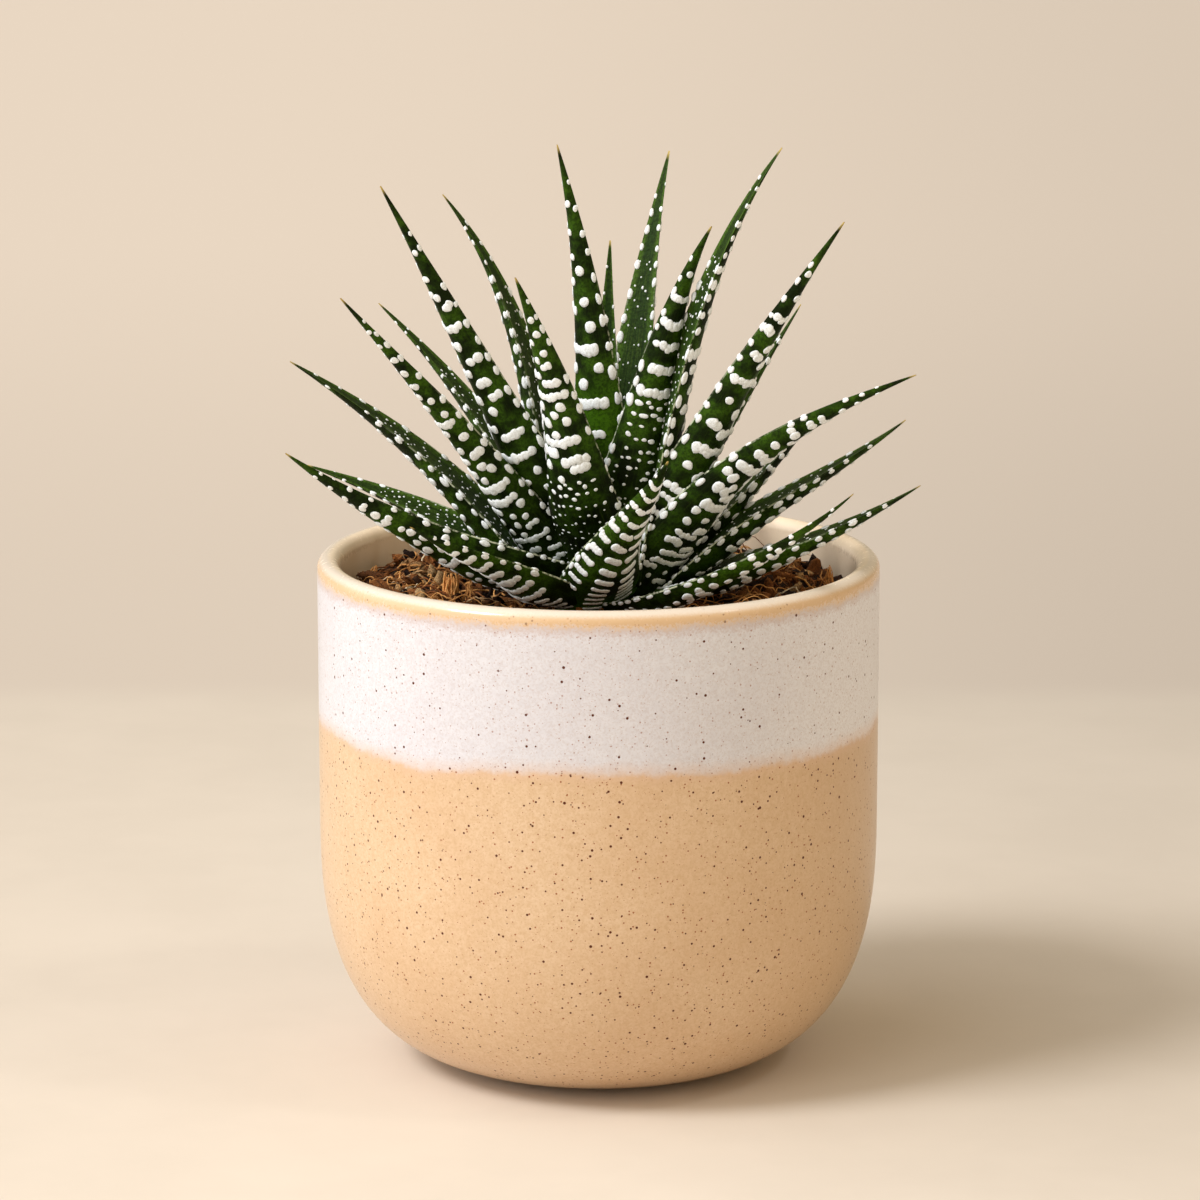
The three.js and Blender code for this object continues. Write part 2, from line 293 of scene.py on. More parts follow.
def rounded_bottom(radius, base, steps):
    """The outline from the flat foot out to the upright wall, as a list of (radius, height)."""
    points = []
    for i in range(steps + 1):
        angle = i / steps * math.pi / 2
        out = math.sin(angle) ** (2 / POT_SQUARENESS)
        up = max(0, math.cos(angle)) ** (2 / POT_SQUARENESS)
        points.append((POT_FOOT + (radius - POT_FOOT) * out, POT_HAUNCH - (POT_HAUNCH - base) * up))
    return points


def upright(radius, start, end):
    """Points of an upright wall between two heights, without its ends."""
    return [(radius, start + (end - start) * i / WALL_STEPS) for i in range(1, WALL_STEPS)]


def turned(outline, turns):
    """A body turned on the pot's axis from its outline."""
    bm = bmesh.new()
    line = [bm.verts.new((x, 0, z)) for x, z in outline]
    edges = [bm.edges.new(pair) for pair in zip(line, line[1:])]
    around = {"axis": (0, 0, 1), "cent": (0, 0, 0), "angle": 2 * math.pi}
    bmesh.ops.spin(bm, geom=line + edges, steps=turns, use_merge=True, **around)
    bmesh.ops.remove_doubles(bm, verts=bm.verts, dist=0.001)
    bmesh.ops.recalc_face_normals(bm, faces=bm.faces)
    return bm


shoulder = POT_HEIGHT - LIP
outline = [(0, 0), *rounded_bottom(POT_RADIUS, 0, BOTTOM_STEPS), *upright(POT_RADIUS, POT_HAUNCH, shoulder)]
for i in range(LIP_STEPS + 1):
    angle = i / LIP_STEPS * math.pi
    outline.append((POT_RADIUS - LIP + LIP * math.cos(angle), shoulder + LIP * math.sin(angle)))
outline += upright(POT_INSIDE, shoulder, POT_HAUNCH)
outline += [*reversed(rounded_bottom(POT_INSIDE, POT_FLOOR, INSIDE_STEPS)), (0, POT_FLOOR)]

glaze = Finish("speckled_stoneware_glaze", Coat_Roughness=0.06, Specular_IOR_Level=0.35)
spot = glaze.place()
east, north, height = glaze.axes(spot)
mottle = glaze.noise(spot, 1.1, 3, 0.6).step(0.3, 0.7)
cloud = glaze.noise(spot, 18, 3, 0.5).step(0.3, 0.7)
salt = glaze.noise(spot, 0.42, 2, 0.7)
salty = salt.step(0.46, 0.62)

# where each glaze is: the heights of their borders waver, by noise that adds 3.6 to wave on average
sweep = glaze.noise(glaze.place((1, 1, 0.35)), 26, 2) * 5
ripple = glaze.noise(spot, 2.4, 3, 0.7) * 2.2
wave = sweep + ripple + height
white = wave.step(WHITE_FROM + 2.9, WHITE_FROM + 4.4)
border = wave.step(WHITE_FROM + 1.4, WHITE_FROM + 3.2) * wave.step(WHITE_FROM + 6.5, WHITE_FROM + 3.8)
drip = glaze.noise(spot, 3.2, 2) * 1.6 + salt * 2.4 + height - 2
honey = drip.step(HONEY_FROM, HONEY_FROM + 1.6)
fringe = drip.step(HONEY_FROM - 1.4, HONEY_FROM + 0.3) * drip.step(HONEY_FROM + 1.4, HONEY_FROM + 0.4)
# The top of the lip is paler: partly the glaze's own cream there, partly a painted highlight where it faces
# up into the light.
lip_cream_and_highlight = (height + salt * 0.6).step(POT_HEIGHT - 1.05, POT_HEIGHT - 0.05)
from_axis = (east * east + north * north) ** 0.5
inside = from_axis.step(POT_RADIUS - LIP + 0.6, POT_RADIUS - LIP - 0.6)
inside *= height.step(POT_HAUNCH, POT_HAUNCH + 5)  # but not the bottom, which is near the axis too

tan = glaze.coats(
    glaze.mix(mottle, tone(212, 180, 143), tone(220, 190, 156)),
    (cloud * 0.35, tone(204, 166, 127)),
    (salty * 0.3, tone(190, 150, 108)),
    # painted shade: the tan is darker towards +X, the right of the view
    (east.step(18, 54) * 0.45, tone(186, 152, 114)),
)
milk = glaze.coats(
    glaze.mix(mottle, tone(212, 210, 215), tone(220, 219, 224)),
    (cloud * 0.3, tone(208, 204, 212)),
    # painted light: the white is lighter towards +X, the right of the view
    (east.step(22, 52) * 0.6, tone(236, 234, 238)),
    (salty * 0.38, tone(196, 184, 182)),
)


def specks(cell, radius, share):
    """Round iron specks: 1 in the middle of each, and 0 past its radius, in a share of the cells."""
    sockets = {"Vector": spot, "Scale": 1 / cell, "Randomness": 1}
    near = glaze.node("ShaderNodeTexVoronoi", None, sockets)
    tint = glaze.node("ShaderNodeTexVoronoi", None, sockets, "Color")
    red, green, _ = glaze.axes(tint)
    kept = red.step(share + 0.01, share)
    size = (green * 0.5 + 0.6) * (radius / cell)
    return (size - near).step(0, 0.12 * radius / cell) * kept


only_on_tan = specks(1.3, 0.21, 0.5) * (1 - white)
bold = specks(1.6, 0.25, 0.42).math("MAXIMUM", only_on_tan)
faint = specks(0.95, 0.17, 0.7) * (1 - white * 0.35)
tiny = specks(0.6, 0.1, 0.7)
iron = bold.math("MAXIMUM", faint)
clear = (1 - lip_cream_and_highlight * 0.8) * (1 - inside * 0.8) * (1 - honey * 0.5)
skin = glaze.coats(
    glaze.mix(white, tan, milk),
    (border * 0.4, tone(214, 178, 150)),
    (fringe * 0.45, tone(190, 162, 150)),
    (honey * 0.9, tone(216, 178, 130)),
    # the paler lip top, partly cream glaze and partly painted highlight
    (lip_cream_and_highlight * 0.85, tone(230, 219, 206)),
    (inside, tone(255, 234, 206)),
    (tiny * 0.5 * clear, tone(160, 96, 44)),
    (faint * 0.9 * clear, tone(140, 68, 16)),
    (bold * clear, tone(86, 32, 2)),
)
glaze.set(Base_Color=skin, Roughness=0.42 - honey * 0.2 + mottle * 0.06, Coat_Weight=0.4 - iron * 0.4)
glaze.bump(mottle * 0.25 + cloud * 2 - bold * 0.8 + honey * 0.6, 0.06, 0.5)

pot = piece(turned(outline, POT_TURNS), "stoneware_pot", glaze)
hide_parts("pot")
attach(pot, "root")


# The soil: coarse coir and bark, pressed round the plant a little under the lip. Its mat is one
# lumpy body that fills the pot; loose crumbs and curled fibres lie in its top.
SOIL_LEVEL = 84
SOIL_DIP = 0.4  # how far its top lies under that level at the crown
SOIL_MOUND = 1.6  # and how far over that dip it rises away from the crown
SOIL_SHOULDER = 6  # the width of the strip along the pot over which it falls again
SOIL_GAP = 0.3  # between the mat and the pot
SOIL_RADIUS = POT_INSIDE - SOIL_GAP
SOIL_RINGS = 70
SOIL_TURNS = 180
SOIL_BOTTOM_STEPS = 12
PLANT_AXIS = Vector((0, -6, 0))
CROWN_RADIUS = 10.5
SOIL_CLEAR = 3  # flat ground kept round the crown
SOIL_SLOPE = 21  # how far past it the mound is whole
UP = Vector((0, 0, 1))
soil_chance = random.Random(11)


def smooth(value, low, high):
    """The smooth step from 0 at low to 1 at high."""
    x = min(1, max(0, (value - low) / (high - low)))
    return x * x * (3 - 2 * x)


def from_plant(x, y):
    return (Vector((x, y, 0)) - PLANT_AXIS).length


def lumps(x, y, grain, layer):
    """Noise from -1 to 1 over the soil's top, of that grain."""
    return noise.noise(Vector((x, y, layer)) / grain)


def soil_top(x, y):
    """The height of the soil's top there: flat at the crown, lumpy further out."""
    near = CROWN_RADIUS + SOIL_CLEAR
    open_ground = smooth(from_plant(x, y), near, near + SOIL_SLOPE)
    lift = SOIL_MOUND * (1 - smooth(math.hypot(x, y), SOIL_RADIUS - SOIL_SHOULDER, SOIL_RADIUS))
    lift += 1.5 * lumps(x, y, 6, 3) + 0.9 * lumps(x, y, 2.2, 9)
    return SOIL_LEVEL - SOIL_DIP + lift * open_ground + 0.35 * lumps(x, y, 0.9, 5)


base = POT_FLOOR + SOIL_GAP
outline = [(0, base), *rounded_bottom(SOIL_RADIUS, base, SOIL_BOTTOM_STEPS)]
outline += [(SOIL_RADIUS * (1 - i / SOIL_RINGS), SOIL_LEVEL) for i in range(SOIL_RINGS + 1)]
bm = turned(outline, SOIL_TURNS)
for vert in bm.verts:
    if vert.co.z > POT_HAUNCH + 1:
        vert.co.z = soil_top(vert.co.x, vert.co.y)

loam = Finish("moist_coir", roughness=0.95, Specular_IOR_Level=0.2)
spot = loam.place()
crumble = loam.noise(spot, 1.6, 4, 0.7)
flecks = loam.noise(spot, 0.5, 2).step(0.55, 0.75)
mat = loam.mix(crumble.step(0.4, 0.7), tone(16, 8, 4), tone(64, 34, 16))
loam.set(Base_Color=loam.mix(flecks * 0.6, mat, tone(150, 92, 48)))
loam.bump(crumble, 0.8)
soil = piece(bm, "soil_mat", loam)
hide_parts("soil")
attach(soil, "root")


# Bark crumbs: small broken bits of bark and clods of peat that lie half sunk in the soil's top.
# Most are fine; the coarser ones have more faces.
CRUMBS = 1900
CRUMB_RADIUS = 0.3, 1.6
CRUMB_LONG = 0.9, 2.6  # against the radius
CRUMB_BROAD = 0.8
CRUMB_THICK = 0.35, 0.8
COARSE_CRUMB = 0.6
CRUMB_RAISE = 0.25
ANY_TURN = 0, 6.28
noise.seed_set(11)  # noise_vector, which dents the crumbs and the warts, else differs in each run


def open_spot(inner, outer):
    """A chance place on the soil's top, between two distances from the pot's axis, off the crown."""
    while True:
        r = math.sqrt(soil_chance.uniform(inner**2, outer**2))
        a = soil_chance.uniform(0, 2 * math.pi)
        x, y = r * math.cos(a), r * math.sin(a)
        if from_plant(x, y) > CROWN_RADIUS + SOIL_CLEAR:
            return x, y


def pattern(bm, name):
    """Keeps a small finished bmesh as the mesh that add() repeats."""
    mesh = bpy.data.meshes.new(name)
    bm.to_mesh(mesh)
    bm.free()
    return mesh


def add(bm, mesh):
    """Adds a copy of that mesh to a bmesh that only grows, and returns its new vertices."""
    first = len(bm.verts)
    bm.from_mesh(mesh)
    bm.verts.ensure_lookup_table()
    return bm.verts[first:]


nuggets = []
for fineness in (1, 2):
    bm = bmesh.new()
    bmesh.ops.create_icosphere(bm, subdivisions=fineness, radius=1)
    nuggets.append(pattern(bm, f"nugget_{fineness}"))

bm = bmesh.new()
shade_layer = bm.verts.layers.float.new("shade")
for i in range(CRUMBS):
    x, y = open_spot(12, SOIL_RADIUS - 1.4)
    size = CRUMB_RADIUS[0] + (CRUMB_RADIUS[1] - CRUMB_RADIUS[0]) * soil_chance.random() ** 3
    angle = soil_chance.uniform(*ANY_TURN)
    axle = Vector((soil_chance.random(), 1, soil_chance.random()))
    long = size * soil_chance.uniform(*CRUMB_LONG)
    thick = size * soil_chance.uniform(*CRUMB_THICK)
    turn = Matrix.Rotation(angle, 4, axle)
    stretch = Matrix.Diagonal((long, size * CRUMB_BROAD, thick, 1))
    seat = Matrix.Translation((x, y, soil_top(x, y) + size * CRUMB_RAISE)) @ turn @ stretch
    shade = soil_chance.random()
    for vert in add(bm, nuggets[size > COARSE_CRUMB]):
        vert.co = seat @ vert.co
        dent = noise.noise_vector(vert.co * 1.3) * size * 0.5
        vert.co += dent + noise.noise_vector(vert.co * 4) * size * 0.3
        vert[shade_layer] = shade

crumb = Finish("bark_crumbs", roughness=0.9, Specular_IOR_Level=0.25)
shade = crumb.attribute("shade")
grain = crumb.noise(crumb.place((1, 0.3, 1.6)), 0.3, 3, 0.7)
bark = crumb.coats(
    crumb.mix(shade.step(0.1, 0.75), tone(34, 16, 5), tone(172, 106, 52)),
    (shade.step(0.8, 0.95), tone(214, 172, 120)),
    (grain.step(0.35, 0.7) * 0.7, tone(30, 14, 6)),
)
crumb.set(Base_Color=bark)
crumb.bump(grain, 0.5)
crumbs = piece(bm, "bark_crumbs", crumb)
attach(crumbs, "root")


# Coir fibres: curled strands of coconut husk that lie over the soil, with a torn stub of bark at the
# left of the plant and a few tufts that stand up. Each is a thin five-sided rod bent along its path.
FIBRES = 620
FIBRE_RADIUS = 0.07, 0.22
FIBRE_LENGTH = 3, 11
FIBRE_CURL = 0.9
FIBRE_LIFT = 2.4  # how far the middle of the boldest one stands off the soil
FIBRE_RAISE = 0.4  # how far all of them do
FIBRE_SIDES = 5
FIBRE_STEPS = 12
FIBRE_REACH = SOIL_RADIUS - 0.6  # how far from the pot's axis a fibre may go
FIBRE_POINT = 0.4  # the radius at its thin end, against the other

bm = bmesh.new()
bmesh.ops.create_cone(bm, cap_ends=True, segments=FIBRE_SIDES, radius1=1, radius2=FIBRE_POINT, depth=1)
bmesh.ops.translate(bm, verts=bm.verts, vec=(0, 0, 0.5))
for i in range(1, FIBRE_STEPS):
    cut = bm.verts[:] + bm.edges[:] + bm.faces[:]
    bmesh.ops.bisect_plane(bm, geom=cut, plane_co=(0, 0, i / FIBRE_STEPS), plane_no=(0, 0, 1))
straight_fibre = pattern(bm, "straight_fibre")


def fibre_path(start, heading, length, radius, curl, lift):
    """The middle line of a fibre that curls over the soil, one point for each of its steps."""
    points = [start.copy()]
    reach = length / FIBRE_STEPS
    phase = soil_chance.uniform(0, 6)
    for i in range(1, FIBRE_STEPS + 1):
        heading += curl * math.sin(i * 0.9 + phase)
        last = points[-1]
        height = soil_top(last.x, last.y) + FIBRE_RAISE + radius + lift * math.sin(math.pi * i / FIBRE_STEPS)
        rise = max(-reach, min(reach, height - last.z))
        points.append(last + Vector((math.cos(heading) * reach, math.sin(heading) * reach, rise)))
    for point in points:
        r = math.hypot(point.x, point.y)
        if r > FIBRE_REACH:
            point.x *= FIBRE_REACH / r
            point.y *= FIBRE_REACH / r
    return points


def lay(bm, path, radius, darkest=0.0, palest=1.0):
    """Adds one fibre along that path, in a shade of its own."""
    shade = soil_chance.uniform(darkest, palest)
    shade_layer = bm.verts.layers.float["shade"]
    for vert in add(bm, straight_fibre):
        step = round(vert.co.z * FIBRE_STEPS)
        ahead = path[min(FIBRE_STEPS, step + 1)] - path[max(0, step - 1)]
        side = (UP + Vector((0, 0.3, 0))).cross(ahead).normalized()
        vert.co = path[step] + (side * vert.co.x + side.cross(ahead).normalized() * vert.co.y) * radius
        vert[shade_layer] = shade


def bundle(bm, x, y, height, foot, head, count, radius):
    """Upright fibres that stand close together, within a radius foot below and head above."""
    steps = [k / FIBRE_STEPS for k in range(FIBRE_STEPS + 1)]
    for i in range(count):
        turn = soil_chance.uniform(0, 2 * math.pi)
        out = Vector((math.cos(turn), math.sin(turn), 0)) * math.sqrt(soil_chance.random())
        low = Vector((x, y, soil_top(x, y) - 0.3)) + out * foot
        high = Vector((x, y, low.z)) + out * head + UP * height * soil_chance.uniform(0.65, 1)
        bow = Vector((soil_chance.uniform(-0.4, 0.4), soil_chance.uniform(-0.4, 0.4), 0))
        path = [low.lerp(high, k) + bow * math.sin(6 * k) for k in steps]
        lay(bm, path, radius * soil_chance.uniform(0.7, 1.2), 0.5, 0.9)


bm = bmesh.new()
bm.verts.layers.float.new("shade")
# the stub of bark, with a few roots at its side, and the tufts at the right and the left
bundle(bm, x=-26.2, y=-8, height=6, foot=1.9, head=1.2, count=46, radius=0.27)
bundle(bm, x=-23, y=-7, height=4, foot=2.2, head=0.6, count=9, radius=0.2)
bundle(bm, x=41, y=1.2, height=5.2, foot=1.8, head=0.12, count=18, radius=0.17)
bundle(bm, x=-40, y=8, height=3.6, foot=1.5, head=0.3, count=10, radius=0.16)
for i in range(FIBRES):
    x, y = open_spot(14, SOIL_RADIUS - 3)
    start = Vector((x, y, soil_top(x, y)))
    radius = soil_chance.uniform(*FIBRE_RADIUS)
    turn = soil_chance.uniform(0, 2 * math.pi)
    length = soil_chance.uniform(*FIBRE_LENGTH)
    curl = soil_chance.uniform(-FIBRE_CURL, FIBRE_CURL)
    lift = FIBRE_LIFT * soil_chance.random() ** 2
    lay(bm, fibre_path(start, turn, length, radius, curl, lift), radius)
bmesh.ops.recalc_face_normals(bm, faces=bm.faces)

strand = Finish("coir_fibre", roughness=0.8, Specular_IOR_Level=0.3)
shade = strand.attribute("shade")
stains = strand.noise(strand.place(), 0.6, 2).step(0.4, 0.8)
coir = strand.coats(
    strand.mix(shade.step(0, 0.8), tone(128, 70, 28), tone(236, 172, 100)),
    (shade.step(0.9, 0.96), tone(240, 220, 186)),
    (stains * 0.5, tone(84, 44, 20)),
)
strand.set(Base_Color=coir)
fibres = piece(bm, "coir_fibres", strand)
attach(fibres, "root")


# The crown: the short stem between the leaves, with the root below it. It grows out of the soil and
# holds every leaf, and hardly shows, so it keeps its own solid, in a dark dry green.
pith = Finish("crown_pith", roughness=0.7)
stem = pith.noise(pith.place((1, 1, 4)), 1.5, 3)
pith.set(Base_Color=pith.mix(stem.step(0.35, 0.65), tone(22, 26, 10), tone(44, 54, 20)))
pith.bump(stem, 0.2)
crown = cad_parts["crown"]
crown.data.materials.clear()
crown.data.materials.append(pith.material)


# The leaves: stiff, pointed and water-filled, each with a keeled back, a shallow groove in front and
# a thin pale margin. They clasp the crown one over the other. White warts stand on their skin, single
# or run together in bars across the back, long along the margins and as small dots on the face.
#
# turn is the compass direction of the tip, in degrees from +X, and seat that of the foot where the two
# differ. foot is the distance from the crown's axis at which the leaf leaves it, reach and top the
# place of the tip, rise and lean the slope at the foot and at the tip, width the widest part of the
# blade and roll its twist in degrees. On each second line, bars is the share of rows of warts that run
# together, pitch the distance between rows, size that of the warts against the usual and dots how
# many the face has against the usual. From the foot, bare is the share of the length with no rows
# and fine that with small dashes only. glow is the share at which the skin is a fresh green, and
# chevron gives the rows of the one leaf that has them as V's the depth of the V.
LEAVES = [
    dict(turn=70, foot=1.5, reach=6, top=147.6, rise=88, lean=84, width=7.5,
         bars=0.1, size=0.7),
    dict(turn=237, seat=300, foot=2.5, reach=13, top=166.5, rise=89, lean=70, width=11.5,
         bars=0.2, pitch=5.2, bare=0.3, glow=0.33),
    dict(turn=110, foot=2.5, reach=9, top=134, rise=84, lean=80, width=7,
         bars=0.3),
    dict(turn=172, foot=4.5, reach=27.5, top=156, rise=80, lean=49, width=10.5, roll=-15,
         bars=0.1, pitch=3.6, size=0.9, dots=1.4),
    dict(turn=61, foot=4.5, reach=26, top=161.3, rise=78, lean=63, width=10.4,
         bars=0.1, dots=1.3),
    dict(turn=-42, foot=4.5, reach=26, top=153.3, rise=75, lean=55, width=11.6, roll=-25,
         bars=1, pitch=4.6, size=0.98, fine=0.5),
    dict(turn=243, seat=258, foot=4.5, reach=31, top=146, rise=66, lean=52, width=12.3,
         bars=0.45, pitch=3.1, size=0.92, fine=0.32),
    dict(turn=128, foot=4.5, reach=24, top=132, rise=74, lean=60, width=8.5,
         bars=0.5),
    dict(turn=208, foot=3.5, reach=42, top=160.5, rise=60, lean=59, width=9.3, roll=35,
         bars=0.6, pitch=5.4),
    dict(turn=-42, foot=6, reach=41.5, top=168, rise=74, lean=48, width=10.5, roll=58,
         bars=0.3, pitch=4.2, dots=2),
    dict(turn=92, foot=5.5, reach=30, top=132, rise=70, lean=52, width=9,
         bars=0.6),
    dict(turn=-32, foot=7, reach=49, top=155.2, rise=64, lean=52, width=10, roll=-25,
         bars=0.6, pitch=4.8),
    dict(turn=151, foot=6.5, reach=45, top=134, rise=66, lean=36, width=9,
         bars=0, size=0.7, dots=1.2),
    dict(turn=212, seat=202, foot=6.5, reach=51.5, top=142.4, rise=58, lean=46, width=8.3, roll=30,
         bars=0.35, pitch=3.3),
    dict(turn=-72, seat=-92, foot=9, reach=38, top=116, rise=47, lean=45, width=12,
         bars=1, pitch=3.1, size=0.72, chevron=1.2, glow=0.04),
    dict(turn=44, foot=6.5, reach=34, top=117, rise=58, lean=42, width=9,
         bars=0.6),
    dict(turn=15, foot=7, reach=37, top=135.7, rise=60, lean=56, width=7,
         bars=0.2),
    dict(turn=117, foot=7, reach=40, top=114, rise=55, lean=38, width=9,
         bars=0.6),
    dict(turn=186, foot=8.5, reach=54, top=128, rise=55, lean=30, width=11.5, roll=-14,
         bars=0, pitch=3, size=0.85, dots=1.6, glow=0.1),
    dict(turn=-28, foot=9, reach=61, top=129.5, rise=70, lean=22, width=10.8, roll=-20,
         bars=0.45, pitch=3.5),
    dict(turn=75, foot=7.5, reach=44, top=114, rise=50, lean=30, width=9,
         bars=0.6),
    dict(turn=140, foot=8.5, reach=46, top=106, rise=40, lean=20, width=8.5,
         bars=0.6),
    dict(turn=4, foot=9, reach=39.5, top=118, rise=46, lean=46, width=8.5,
         bars=0.3),
    dict(turn=-8, foot=9.5, reach=54, top=118, rise=49, lean=37, width=10.5, roll=8,
         bars=0.1, pitch=3.1, size=0.9),
    dict(turn=100, foot=9, reach=50, top=104, rise=32, lean=14, width=8.5,
         bars=0.6),
    dict(turn=161, foot=9, reach=55.3, top=105.2, rise=32, lean=13, width=8.5, roll=-20,
         bars=0, pitch=3.2, size=0.85, dots=2.4),
    dict(turn=205, foot=7.8, reach=59, top=115.3, rise=21, lean=36, width=11, roll=30,
         bars=0.12, pitch=2.9, size=0.85),
    dict(turn=229, seat=234, foot=9.2, reach=48.5, top=104.8, rise=33, lean=27, width=11.6,
         bars=1, pitch=3.6, size=0.88),
    dict(turn=27, foot=9.5, reach=38, top=99, rise=24, lean=18, width=8,
         bars=0.3),
    dict(turn=62, foot=9.5, reach=52, top=108, rise=26, lean=22, width=8.5,
         bars=0.6),
    dict(turn=-36, seat=-60, foot=9.5, reach=53.5, top=109.5, rise=13, lean=40, width=8.5,
         bars=0.15, pitch=2.8, size=0.85),
    dict(turn=-14, foot=9, reach=57.5, top=107.6, rise=18, lean=31, width=10.5, roll=5,
         bars=0.12, pitch=2.9, size=0.9),
]
CROWN_BASE, CROWN_TOP = 84.4, 97  # the heights of the crown's ends
CROWN_RIM = 1.2  # the height of the band round its base, below the first leaves
CROWN_TIP = 1.2  # the radius of its top, and how far under it the last leaves sit
BEND = 0.35  # how far each end's slope reaches into the midrib, against its length
MIDRIB_STEPS = 20
TAPER = 1.4
FULLNESS = 6
FLARE, FLARE_SHARE = 0.4, 0.5  # how much wider the foot is, and over what share of the length
BLUNT, BLUNT_FROM = 0.3, 0.8  # the width left at the very tip, and from where it is added
KEEL = 0.42  # the depth of the back, against the width
THIN_FOOT, SHEATH = 0.5, 0.3  # the depth at the foot, against that, and the share it grows over
BELLY, SHOULDER = 2.2, 0.7  # the two powers that give the back its arch
CHANNEL = 0.06  # the depth of the groove in the face, against the width
NUDGE = 0.01  # how far round a point the skin is followed to find its directions
NEAR_MARGIN, NEAR_TIP = 0.995, 0.999  # and how far out at most
BLADE_ROWS = 84
BLADE_SIDES = 34
OUTER_SHARE = 0.62  # of the way round the blade, the back; the rest is the face
GLOW_REACH = 0.13


def compass(degrees):
    return Vector((math.cos(math.radians(degrees)), math.sin(math.radians(degrees)), 0))


def slope(heading, degrees):
    """The way along that heading and up by so many degrees."""
    return heading * math.cos(math.radians(degrees)) + UP * math.sin(math.radians(degrees))


class Blade:
    """The shape of one leaf: where a point of its skin is, from its share of the length and width."""

    def __init__(self, leaf):
        self.width = leaf["width"]
        self.roll = math.radians(leaf.get("roll", 0))
        seat = compass(leaf.get("seat", leaf["turn"]))
        share = (CROWN_RADIUS - leaf["foot"]) / (CROWN_RADIUS - CROWN_TIP)
        low, high = CROWN_BASE + CROWN_RIM, CROWN_TOP - CROWN_TIP
        start = PLANT_AXIS + seat * leaf["foot"] + UP * (low + share * (high - low))
        end = PLANT_AXIS + compass(leaf["turn"]) * leaf["reach"] + UP * leaf["top"]
        heading = end - start
        heading.z = 0
        heading.normalize()
        self.side = UP.cross(heading)
        handle = (end - start).length * BEND
        after_start = start + slope(seat, leaf["rise"]) * handle
        before_end = end - slope(heading, leaf["lean"]) * handle
        self.points = start, after_start, before_end, end
        line = [self.midrib(i / MIDRIB_STEPS) for i in range(MIDRIB_STEPS + 1)]
        self.length = sum((a - b).length for a, b in zip(line, line[1:]))

    def midrib(self, t):
        a, b, c, d = self.points
        return a * (1 - t) ** 3 + b * 3 * t * (1 - t) ** 2 + c * 3 * t * t * (1 - t) + d * t**3

    def axes(self, t):
        """The blade's own directions at t: across it, and inward, out of its face."""
        a, b, c, d = self.points
        along = ((b - a) * (1 - t) ** 2 + (c - b) * 2 * t * (1 - t) + (d - c) * t * t).normalized()
        across = (self.side - along * self.side.dot(along)).normalized()
        turn = Matrix.Rotation(self.roll, 3, along)
        return turn @ across, turn @ along.cross(across)

    def width_at(self, t):
        wedge = TAPER * (1 - t)
        flare = 1 + FLARE * (1 - smooth(t, 0, FLARE_SHARE))
        tapered = self.width * flare * wedge / (1 + wedge**FULLNESS) ** (1 / FULLNESS)
        return tapered + BLUNT * smooth(t, BLUNT_FROM, 1)

    def skin(self, t, a, outer):
        """A point of the back or the face: a runs from -1 to 1 across, t from 0 to 1 along."""
        across, inward = self.axes(t)
        width = self.width_at(t)
        if outer:
            deep = width * KEEL * (THIN_FOOT + (1 - THIN_FOOT) * smooth(t, 0, SHEATH))
            depth = -deep * max(0, 1 - abs(a) ** BELLY) ** SHOULDER
        else:
            depth = -CHANNEL * width * (1 - a * a)
        return self.midrib(t) + across * (a * width / 2) + inward * depth

    def seat(self, t, a, outer):
        """The place and the three directions of something that sits on the skin there."""
        left, right = max(-NEAR_MARGIN, a - NUDGE), min(NEAR_MARGIN, a + NUDGE)
        low, high = max(0, t - NUDGE), min(NEAR_TIP, t + NUDGE)
        over = self.skin(t, right, outer) - self.skin(t, left, outer)
        along = self.skin(high, a, outer) - self.skin(low, a, outer)
        normal = over.cross(along).normalized() * (-1 if outer else 1)
        over.normalize()
        return self.skin(t, a, outer), over, normal.cross(over), normal

    def mesh(self, glow):
        """A grid wrapped round the blade, drawn together at the foot, with its last row at the tip."""
        bm = bmesh.new()
        bm.loops.layers.uv.new("UVMap")
        rim_layer = bm.verts.layers.float.new("rim")
        glow_layer = bm.verts.layers.float.new("glow")
        sizes = {"x_segments": BLADE_SIDES, "y_segments": BLADE_ROWS, "size": 0.5}
        grid = bmesh.ops.create_grid(bm, calc_uvs=True, **sizes)
        for vert in grid["verts"]:
            around = vert.co.x + 0.5
            row = round((vert.co.y + 0.5) * BLADE_ROWS)
            t = max(0, row - 1) / (BLADE_ROWS - 1)
            outer = around <= OUTER_SHARE
            if outer:
                a = math.cos(math.pi * around / OUTER_SHARE)
            else:
                a = -math.cos(math.pi * (around - OUTER_SHARE) / (1 - OUTER_SHARE))
            vert.co = self.skin(t, a, outer) if row else self.midrib(0)
            vert[rim_layer] = (self.skin(t, math.copysign(1, a), outer) - vert.co).length
            vert[glow_layer] = 0 if glow is None else 1 - smooth(abs(t - glow), 0, GLOW_REACH)
        bmesh.ops.remove_doubles(bm, verts=bm.verts, dist=0.0005)
        bmesh.ops.recalc_face_normals(bm, faces=bm.faces)
        return bm


